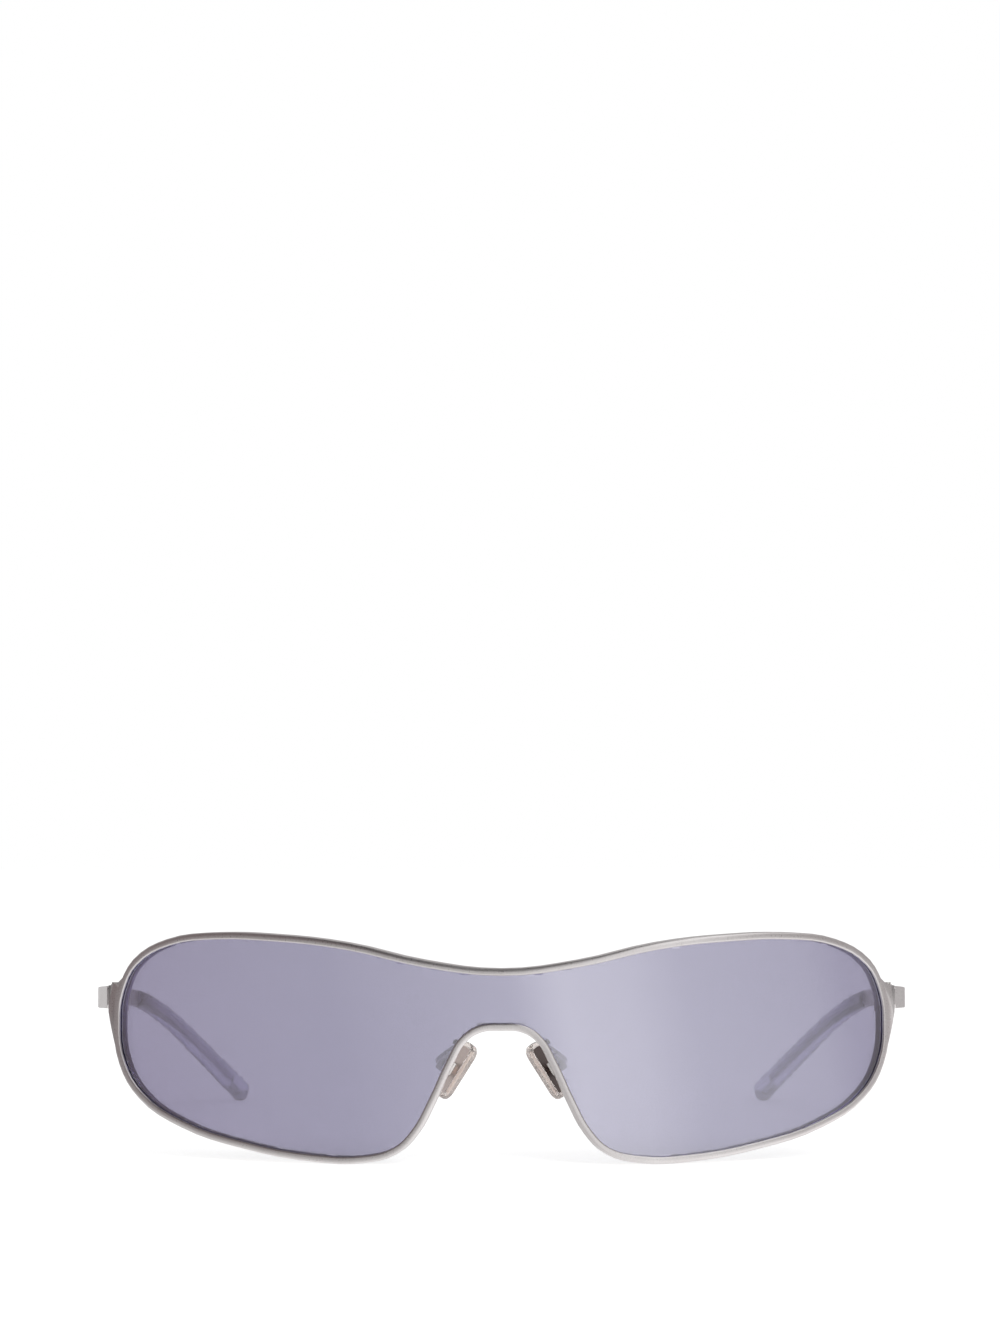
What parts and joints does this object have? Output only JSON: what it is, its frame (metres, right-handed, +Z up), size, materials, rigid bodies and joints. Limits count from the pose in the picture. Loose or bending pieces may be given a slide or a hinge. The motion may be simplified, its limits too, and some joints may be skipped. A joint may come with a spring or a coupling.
{
  "type": "shield sunglasses",
  "caption": "Wrap-around shield sunglasses with one tinted lens in a slim metal rim, adjustable nose pads and folding temples with clear tips.",
  "frame": {"origin": "middle of the bounding box, at its underside, where the sunglasses stand on a table with the temples open", "axes": "+X across the front towards the right-hand temple as the viewer sees it, +Y from the front back along the temples, +Z up"},
  "size_m": [0.1538, 0.141, 0.0409],
  "materials": {
    "satin_steel": "satin",
    "polished_steel": "polished",
    "mirror_tint": "mirror coated, blue-violet tint",
    "clear_plastic": "clear, polished",
    "pad_plastic": "clear, slightly warm",
    "insert_metal": "darkened"
  },
  "bodies": {
    "front": {"front_rim": "satin_steel", "shield_lens": "mirror_tint", "hinge_leaf_left": "polished_steel", "hinge_leaf_right": "polished_steel", "hinge_screw_left": "polished_steel", "hinge_screw_right": "polished_steel", "pad_arm_left": "polished_steel", "pad_arm_right": "polished_steel", "pad_box_left": "polished_steel", "pad_box_right": "polished_steel", "pad_screw_left": "polished_steel", "pad_screw_right": "polished_steel"},
    "left_temple": {"temple_knuckle_left": "polished_steel", "temple_strip_left": "satin_steel", "temple_tip_left": "clear_plastic"},
    "left_pad": {"pad_insert_left": "insert_metal", "nose_pad_left": "pad_plastic"},
    "right_temple": {"temple_knuckle_right": "polished_steel", "temple_strip_right": "satin_steel", "temple_tip_right": "clear_plastic"},
    "right_pad": {"pad_insert_right": "insert_metal", "nose_pad_right": "pad_plastic"}
  },
  "joints": [
    {"name": "right_temple_hinge", "type": "hinge", "parent": "front", "child": "right_temple", "pos_m": [0.07094, -0.04763, 0.02847], "axis": [0, 0, 1], "range_deg": [0, 80]},
    {"name": "left_temple_hinge", "type": "hinge", "parent": "front", "child": "left_temple", "pos_m": [-0.07094, -0.04763, 0.02847], "axis": [0, 0, -1], "range_deg": [0, 85]},
    {"name": "right_pad_rock", "type": "hinge", "parent": "front", "child": "right_pad", "pos_m": [0.00967, -0.06173, 0.01694], "axis": [0.4024, 0.8829, 0.2418], "range_deg": [-10, 10]},
    {"name": "left_pad_rock", "type": "hinge", "parent": "front", "child": "left_pad", "pos_m": [-0.00967, -0.06173, 0.01694], "axis": [-0.4024, 0.8829, 0.2418], "range_deg": [-10, 10]}
  ]
}
